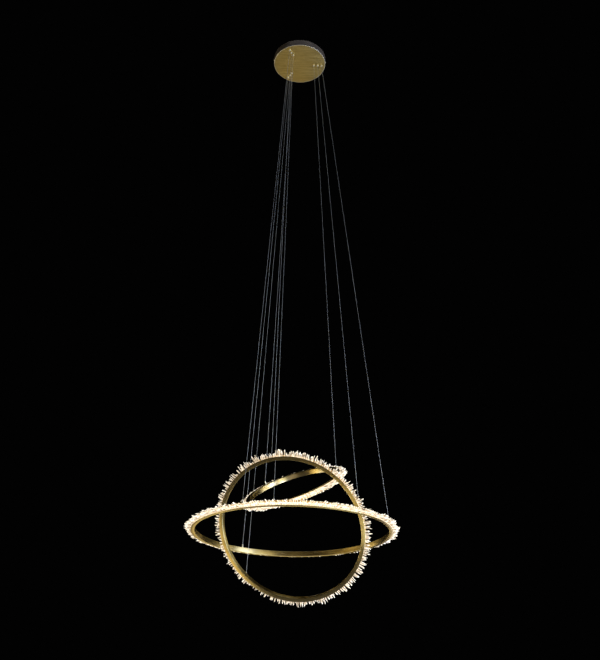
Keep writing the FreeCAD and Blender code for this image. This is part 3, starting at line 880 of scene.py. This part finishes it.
def quartz_tree():
    """Quartz points on end round a ring, in rows, each turned, leaned and sized at random."""
    tree, given = tree_with(
        "quartz_round_ring",
        ("Shapes", "Collection"),
        ("Along", "Int"),
        ("Rows", "Int"),
        ("Row gap", "Float"),
        ("Seat", "Float"),
        ("Thinnest", "Float"),
        ("Thickest", "Float"),
        ("Shortest", "Float"),
        ("Longest", "Float"),
        ("Lean", "Float"),
        ("Group", "Float"),
        ("Seed", "Int"),
        ("Finish", "Material"),
    )

    def chance(low, high, draw):
        """A random value for each point; draw keeps one use apart from another."""
        seed = put(tree, MATHS, PLUS, {0: given["Seed"], 1: draw})
        return put(tree, "FunctionNodeRandomValue", {}, {2: low, 3: high, "Seed": seed}).outputs[1]

    index = put(tree, "GeometryNodeInputIndex", {}, {})
    row = put(tree, MATHS, {"operation": "MODULO"}, {0: index, 1: given["Rows"]})
    step = put(tree, MATHS, OVER, {0: index, 1: given["Rows"]})
    step = put(tree, MATHS, PLUS, {0: step, 1: chance(-QUARTZ_STRAY, QUARTZ_STRAY, 1)})
    turn = put(tree, MATHS, OVER, {0: 2 * math.pi, 1: given["Along"]})
    angle = put(tree, MATHS, TIMES, {0: step, 1: turn})
    last = put(tree, MATHS, LESS, {0: given["Rows"], 1: 1})
    middle = put(tree, MATHS, TIMES, {0: last, 1: 0.5})
    side = put(tree, MATHS, LESS, {0: row, 1: middle})
    height = put(tree, MATHS, TIMES, {0: side, 1: given["Row gap"]})
    place = put(tree, "ShaderNodeCombineXYZ", {}, {"X": given["Seat"], "Z": height})
    spot = put(tree, "ShaderNodeVectorRotate", ABOUT_Z, {"Vector": place, "Angle": angle})
    total = put(tree, MATHS, TIMES, {0: given["Along"], 1: given["Rows"]})
    spots = put(tree, "GeometryNodePoints", {}, {"Count": total, "Position": spot})

    lean_along = put(tree, MATHS, TIMES, {0: given["Lean"], 1: chance(-1, 1, 3)})
    lean_across = put(tree, MATHS, TIMES, {0: given["Lean"], 1: chance(-0.25, 0.25, 4)})
    lean_across = put(tree, MATHS, TIMES_PLUS, {0: side, 1: QUARTZ_SPLAY, 2: lean_across})
    way = {"X": 1, "Y": lean_along, "Z": lean_across}
    way = put(tree, "ShaderNodeCombineXYZ", {}, way)
    way = put(tree, "ShaderNodeVectorRotate", ABOUT_Z, {"Vector": way, "Angle": angle})
    facing = put(tree, "FunctionNodeAlignRotationToVector", {"axis": "Z"}, {"Vector": way})
    spin = put(tree, "ShaderNodeCombineXYZ", {}, {"Z": chance(0, 2 * math.pi, 5)})
    spin = put(tree, "FunctionNodeEulerToRotation", {}, {"Euler": spin})
    spun = {"Rotation": facing, "Rotate By": spin}
    facing = put(tree, "FunctionNodeRotateRotation", {"rotation_space": "LOCAL"}, spun)

    thick = {"To Min": given["Thinnest"], "To Max": given["Thickest"]}
    thick = put(tree, "ShaderNodeMapRange", {}, {"Value": chance(0, 1, 6), **thick})
    patches = put(tree, MATHS, OVER, {0: 1, 1: given["Group"]})
    group = {"Vector": spot, "W": given["Seed"], "Scale": patches, "Detail": 1}
    group = put(tree, "ShaderNodeTexNoise", {"noise_dimensions": "4D"}, group)
    low, high = GROUP_NOISE
    group = {"Value": group, "From Min": low, "From Max": high}
    group = put(tree, "ShaderNodeMapRange", {}, group)
    rare = put(tree, MATHS, PLUS, {0: group, 1: chance(*GROUP_STRAY, 7)})
    rare = put(tree, MATHS, TIMES, {0: rare, 1: TALL_SHARE})
    long = {"Value": rare, "To Min": given["Shortest"], "To Max": given["Longest"]}
    long = put(tree, "ShaderNodeMapRange", {}, long)
    size = put(tree, "ShaderNodeCombineXYZ", {}, {"X": thick, "Y": thick, "Z": long})

    forms = {"Collection": given["Shapes"], "Separate Children": True, "Reset Children": True}
    forms = put(tree, "GeometryNodeCollectionInfo", {}, forms)
    points = {"Points": spots, "Instance": forms, "Pick Instance": True}
    points.update({"Rotation": facing, "Scale": size})
    points = put(tree, "GeometryNodeInstanceOnPoints", {}, points)
    each = {"data_type": "FLOAT", "domain": "INSTANCE"}
    cloud = {"Geometry": points, "Name": "cloud", "Value": chance(0, 1, 8)}
    clear = put(tree, "GeometryNodeStoreNamedAttribute", each, cloud)
    real = put(tree, "GeometryNodeRealizeInstances", {}, {"Geometry": clear})
    rough = {0: (-QUARTZ_UNEVEN,) * 3, 1: (QUARTZ_UNEVEN,) * 3, "Seed": given["Seed"]}
    rough = put(tree, "FunctionNodeRandomValue", {"data_type": "FLOAT_VECTOR"}, rough)
    uneven = put(tree, "GeometryNodeSetPosition", {}, {"Geometry": real, "Offset": rough})
    painted = {"Geometry": uneven, "Material": given["Finish"]}
    painted = put(tree, "GeometryNodeSetMaterial", {}, painted)
    put(tree, "NodeGroupOutput", {}, {"Made": painted})
    return tree


def lit_quartz():
    """Quartz lit from its foot, as a painted glow: brightest at the foot and the tip, each facet
    painted its own brightness, dim amber where the glow is weakest.
    """
    material, tree, shader, place = new_finish("lit_quartz", Roughness=0.12, IOR=1.54)
    reach = put(tree, "ShaderNodeAttribute", {"attribute_name": "reach"}, {}).outputs["Fac"]
    tip = put(tree, "ShaderNodeAttribute", {"attribute_name": "tip"}, {}).outputs["Fac"]
    cloud = put(tree, "ShaderNodeAttribute", {"attribute_name": "cloud"}, {}).outputs["Fac"]
    # Painted light: each flat facet gets its own brightness from its normal, as facets catch light
    # differently.
    facing = put(tree, "ShaderNodeNewGeometry", {}, {}).outputs["True Normal"]
    apart = put(tree, MATHS, TIMES, {0: cloud, 1: 9})
    facet = put(tree, "ShaderNodeVectorMath", PLUS, {0: facing, 1: apart})
    facet = spread(tree, facet, (1.6, 1.6, 1.6), detail=1)
    flaws = spread(tree, place, (300, 300, 300), detail=3, distortion=1.5)
    foot = put(tree, MATHS, {"operation": "LESS_THAN"}, {0: reach, 1: FOOT_REACH})
    light = put(tree, MATHS, TIMES, {0: flaws, 1: FLAW_LIGHT})
    for part, share in ((facet, FACET_LIGHT), (tip, TIP_LIGHT), (foot, FOOT_LIGHT)):
        light = put(tree, MATHS, TIMES_PLUS, {0: part, 1: share, 2: light})
    glow = tinted(tree, shader, light, QUARTZ_GLOW_TONES)
    tree.links.new(glow, shader.inputs["Emission Color"])
    shader.inputs["Emission Strength"].default_value = 1.25
    return material


quartz = lit_quartz()
shapes = bpy.data.collections.new("quartz_shapes")
bpy.context.scene.collection.children.link(shapes)
for number, form in enumerate(QUARTZ_FORMS):
    shapes.objects.link(bpy.data.objects.new("shape", quartz_shape(number, *form)))
quartz_round_ring = quartz_tree()
for seed, (name, ring) in enumerate(RINGS.items()):
    seat = ring["radius"] - RING_DEPTH + RING_WALL + BOARD_SHEET + LAMP_HEIGHT
    node = name + "_ring_quartz_points"
    values = {
        "Shapes": shapes,
        "Along": round(2 * math.pi * ring["radius"] / QUARTZ_PITCH[name]),
        "Rows": QUARTZ_ROWS,
        "Row gap": QUARTZ_ROW_GAP,
        "Seat": seat,
        "Thinnest": QUARTZ_THICKNESS[0],
        "Thickest": QUARTZ_THICKNESS[1],
        "Shortest": ring["radius"] - seat + QUARTZ_BEYOND[name][0],
        "Longest": ring["radius"] - seat + QUARTZ_BEYOND[name][1],
        "Lean": QUARTZ_LEAN,
        "Group": QUARTZ_GROUP,
        "Seed": 11 + 40 * seed,
        "Finish": quartz,
    }
    mesh = grown(name + "_quartz", quartz_round_ring, ring_matrix(ring), **values)
    for vertex in mesh.vertices:
        vertex.co = [min(max(c, a), b) for c, a, b in zip(vertex.co, *cad_box)]
    fitted(name + "_quartz", mesh, quartz, name + "_ring", "quartz", node)
    mesh.shade_flat()
for shape in list(shapes.objects):
    bpy.data.objects.remove(shape)
bpy.data.collections.remove(shapes)

# ------------------------------------------------------------------ wire studs
# Hexagon brass studs, brazed on the ring's upper side. Each takes a wire's end in a mouth cut
# along the wire's own line.

for name in RINGS:
    studs = eased(name + "_ring_studs", radius=0.0004)
    node = name + "_ring_studs"
    fitted(name + "_studs", studs, turned_brass, name + "_ring", "polished_brass", node)

# ------------------------------------------------------------------ studio
# A pale floor far below the light, as in a tall hall, soft boxes all round it, and the
# photograph's camera, which stands lower than the orb and looks up at it.

FLOOR_Z, FLOOR_SIZE = -6.6, 60


def pale_floor():
    """Sealed pale concrete with a soft, slow cloud in it."""
    material, tree, shader, place = new_finish("sealed_concrete", IOR=1.45)
    cloud = spread(tree, place, (1.5, 1.5, 1.5), detail=6)
    tinted(tree, shader, cloud, [(0.3, "#c9c6c0"), (0.7, "#d8d5cf")])
    varied(tree, shader.inputs["Roughness"], cloud, 0.6, 0.75)
    return material


ground = bmesh.new()
sunk = Matrix.Translation((0, 0, FLOOR_Z))
bmesh.ops.create_grid(ground, x_segments=1, y_segments=1, size=FLOOR_SIZE / 2, matrix=sunk)
floor_mesh = bpy.data.meshes.new("floor")
ground.to_mesh(floor_mesh)
ground.free()
floor_mesh.materials.append(pale_floor())
floor = bpy.data.objects.new("floor", floor_mesh)
bpy.context.scene.collection.objects.link(floor)


STUDIO_MIDDLE, STUDIO_RADIUS, LOWEST_LAMP = Vector((0, 0, -2.2)), 3.3, -4.6
SOFT_BOX = 1.2
WHITE, DAYLIGHT, WARM, AMBER = "#fffdf8", "#d0deff", "#fff0d4", "#ffe08c"


def soft_box(name, azimuth, elevation, power, colour=WHITE, distance=STUDIO_RADIUS):
    """A square soft box that faces the orb from an azimuth and elevation, in degrees, and watts."""
    turn, rise = math.radians(azimuth), math.radians(elevation)
    level = math.cos(rise)
    out = Vector((math.cos(turn) * level, math.sin(turn) * level, math.sin(rise)))
    place = STUDIO_MIDDLE + distance * out
    place.z = max(place.z, LOWEST_LAMP)
    light = bpy.data.lights.new(name, "AREA")
    light.shape, light.size, light.energy = "SQUARE", SOFT_BOX, power
    light.color = linear(colour)[:3]
    lamp = bpy.data.objects.new(name, light)
    lamp.location = place
    lamp.rotation_euler = (STUDIO_MIDDLE - place).to_track_quat("-Z", "Y").to_euler()
    lamp.visible_camera = False
    bpy.context.scene.collection.objects.link(lamp)


soft_box("right_front_box", 330, -18, 53, DAYLIGHT)
soft_box("low_right_box", 320, -45, 61, DAYLIGHT)
soft_box("high_right_box", 330, 8, 22, DAYLIGHT)
soft_box("front_right_box", 300, -18, 14)
soft_box("right_box", 0, -12, 21)
soft_box("low_front_box", 270, -45, 4, WARM)
soft_box("right_back_box", 62, -15, 6, WARM)
soft_box("back_box", 91, -14, 4.5, AMBER)
soft_box("left_back_box", 150, -12, 18, WARM)
soft_box("low_left_back_box", 150, -45, 19.5)
soft_box("low_left_box", 180, -45, 12, AMBER)
soft_box("left_box", 180, 20, 4.5, AMBER)
soft_box("top_box", 0, 90, 5, distance=3.1)

world = bpy.data.worlds.new("dark_studio")
world.use_nodes = True
world.node_tree.nodes["Background"].inputs["Color"].default_value = linear("#020202")
world.node_tree.nodes["Background"].inputs["Strength"].default_value = 1
bpy.context.scene.world = world
bpy.context.scene.view_settings.view_transform = "Standard"

CAMERA_PLACE = Vector((-0.1593, -3.4108, -3.3941))
CAMERA_AZIMUTH, CAMERA_PITCH, CAMERA_ROLL = (math.radians(a) for a in (3.027, 27.458, 0.788))
SENSOR, FOCAL_PIXELS, LONG_SIDE_PIXELS = 36, 865.3, 660
ahead = Vector(
    (
        math.sin(CAMERA_AZIMUTH) * math.cos(CAMERA_PITCH),
        math.cos(CAMERA_AZIMUTH) * math.cos(CAMERA_PITCH),
        math.sin(CAMERA_PITCH),
    )
)
level = Vector((math.cos(CAMERA_AZIMUTH), -math.sin(CAMERA_AZIMUTH), 0))
upright = level.cross(ahead)
across = level * math.cos(CAMERA_ROLL) + upright * math.sin(CAMERA_ROLL)
top = upright * math.cos(CAMERA_ROLL) - level * math.sin(CAMERA_ROLL)
lens = bpy.data.cameras.new("camera")
lens.sensor_width = SENSOR
lens.lens = SENSOR * FOCAL_PIXELS / LONG_SIDE_PIXELS
camera = bpy.data.objects.new("camera", lens)
camera.matrix_world = Matrix.Translation(CAMERA_PLACE) @ Matrix(
    (across, top, -ahead)
).transposed().to_4x4()
bpy.context.scene.collection.objects.link(camera)
bpy.context.scene.camera = camera
